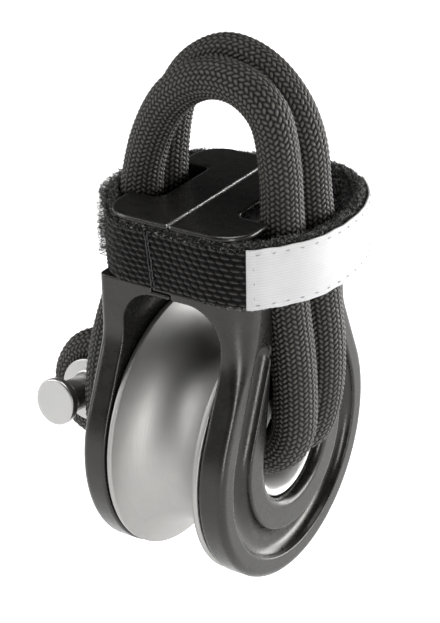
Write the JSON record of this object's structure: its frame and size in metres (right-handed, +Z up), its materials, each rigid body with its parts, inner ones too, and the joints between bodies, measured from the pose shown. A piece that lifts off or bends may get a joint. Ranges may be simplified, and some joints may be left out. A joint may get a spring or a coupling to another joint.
{
  "type": "opening rope block with textile strop",
  "caption": "Opening rope block: grooved sheave on a hollow axle between anodised cheeks, hung on a textile strop closed by a toggle, with a hook-and-loop strap round the crown.",
  "frame": {"origin": "under the crown of the strop's lower loop, where a ring or shackle bears", "axes": "+Z up along the pull, towards what the strop hangs from; +X along the sheave's axle, away from the toggle; +Y along the seam between the crown's halves"},
  "size_m": [0.0745, 0.0604, 0.1195],
  "materials": {
    "anodised": "dark grey hard anodised, satin",
    "satin": "clear anodised, fine satin",
    "steel": "stainless steel, turned and polished",
    "polymer": "plain",
    "rope": "braided cover, charcoal grey",
    "webbing": "woven tape with a looped lining, black",
    "label": "woven label, white, plain"
  },
  "bodies": {
    "block": {"right_cheek": "anodised", "left_cheek": "anodised", "hollow_axle": "steel", "left_thrust_washer": "polymer", "right_thrust_washer": "polymer", "strop": "rope", "strap_lining": "webbing", "strap_webbing": "webbing", "strap_label": "label"},
    "sheave": {"sheave": "satin", "outer_race": "steel"},
    "cage": {"roller_cage": "polymer"},
    "roller_01": {"roller_01": "steel"},
    "roller_02": {"roller_02": "steel"},
    "roller_03": {"roller_03": "steel"},
    "roller_04": {"roller_04": "steel"},
    "roller_05": {"roller_05": "steel"},
    "roller_06": {"roller_06": "steel"},
    "roller_07": {"roller_07": "steel"},
    "roller_08": {"roller_08": "steel"},
    "roller_09": {"roller_09": "steel"},
    "roller_10": {"roller_10": "steel"},
    "roller_11": {"roller_11": "steel"},
    "roller_12": {"roller_12": "steel"},
    "roller_13": {"roller_13": "steel"},
    "roller_14": {"roller_14": "steel"},
    "toggle": {"toggle": "steel"}
  },
  "joints": [
    {"name": "sheave_spin", "type": "hinge", "parent": "block", "child": "sheave", "pos_m": [0, 0, -0.078], "axis": [1, 0, 0], "continuous": true},
    {"name": "cage_orbit", "type": "hinge", "parent": "block", "child": "cage", "pos_m": [0, 0, -0.078], "axis": [1, 0, 0], "continuous": true},
    {"name": "roller_01_spin", "type": "hinge", "parent": "cage", "child": "roller_01", "pos_m": [0, 0.01376, -0.078], "axis": [1, 0, 0], "continuous": true},
    {"name": "roller_02_spin", "type": "hinge", "parent": "cage", "child": "roller_02", "pos_m": [0, 0.0124, -0.07203], "axis": [1, 0, 0], "continuous": true},
    {"name": "roller_03_spin", "type": "hinge", "parent": "cage", "child": "roller_03", "pos_m": [0, 0.00858, -0.06724], "axis": [1, 0, 0], "continuous": true},
    {"name": "roller_04_spin", "type": "hinge", "parent": "cage", "child": "roller_04", "pos_m": [0, 0.00306, -0.06458], "axis": [1, 0, 0], "continuous": true},
    {"name": "roller_05_spin", "type": "hinge", "parent": "cage", "child": "roller_05", "pos_m": [0, -0.00306, -0.06458], "axis": [1, 0, 0], "continuous": true},
    {"name": "roller_06_spin", "type": "hinge", "parent": "cage", "child": "roller_06", "pos_m": [0, -0.00858, -0.06724], "axis": [1, 0, 0], "continuous": true},
    {"name": "roller_07_spin", "type": "hinge", "parent": "cage", "child": "roller_07", "pos_m": [0, -0.0124, -0.07203], "axis": [1, 0, 0], "continuous": true},
    {"name": "roller_08_spin", "type": "hinge", "parent": "cage", "child": "roller_08", "pos_m": [0, -0.01376, -0.078], "axis": [1, 0, 0], "continuous": true},
    {"name": "roller_09_spin", "type": "hinge", "parent": "cage", "child": "roller_09", "pos_m": [0, -0.0124, -0.08397], "axis": [1, 0, 0], "continuous": true},
    {"name": "roller_10_spin", "type": "hinge", "parent": "cage", "child": "roller_10", "pos_m": [0, -0.00858, -0.08876], "axis": [1, 0, 0], "continuous": true},
    {"name": "roller_11_spin", "type": "hinge", "parent": "cage", "child": "roller_11", "pos_m": [0, -0.00306, -0.09142], "axis": [1, 0, 0], "continuous": true},
    {"name": "roller_12_spin", "type": "hinge", "parent": "cage", "child": "roller_12", "pos_m": [0, 0.00306, -0.09142], "axis": [1, 0, 0], "continuous": true},
    {"name": "roller_13_spin", "type": "hinge", "parent": "cage", "child": "roller_13", "pos_m": [0, 0.00858, -0.08876], "axis": [1, 0, 0], "continuous": true},
    {"name": "roller_14_spin", "type": "hinge", "parent": "cage", "child": "roller_14", "pos_m": [0, 0.0124, -0.08397], "axis": [1, 0, 0], "continuous": true},
    {"name": "toggle_spin", "type": "hinge", "parent": "block", "child": "toggle", "pos_m": [-0.0329, 0, -0.0767], "axis": [-0.06, -0.9836, 0.1701], "continuous": true}
  ],
  "couplings": [
    {"joint": "cage_orbit", "follows": "sheave_spin", "ratio": 0.5567},
    {"joint": "roller_01_spin", "follows": "sheave_spin", "ratio": 4.3536},
    {"joint": "roller_02_spin", "follows": "sheave_spin", "ratio": 4.3536},
    {"joint": "roller_03_spin", "follows": "sheave_spin", "ratio": 4.3536},
    {"joint": "roller_04_spin", "follows": "sheave_spin", "ratio": 4.3536},
    {"joint": "roller_05_spin", "follows": "sheave_spin", "ratio": 4.3536},
    {"joint": "roller_06_spin", "follows": "sheave_spin", "ratio": 4.3536},
    {"joint": "roller_07_spin", "follows": "sheave_spin", "ratio": 4.3536},
    {"joint": "roller_08_spin", "follows": "sheave_spin", "ratio": 4.3536},
    {"joint": "roller_09_spin", "follows": "sheave_spin", "ratio": 4.3536},
    {"joint": "roller_10_spin", "follows": "sheave_spin", "ratio": 4.3536},
    {"joint": "roller_11_spin", "follows": "sheave_spin", "ratio": 4.3536},
    {"joint": "roller_12_spin", "follows": "sheave_spin", "ratio": 4.3536},
    {"joint": "roller_13_spin", "follows": "sheave_spin", "ratio": 4.3536},
    {"joint": "roller_14_spin", "follows": "sheave_spin", "ratio": 4.3536}
  ]
}
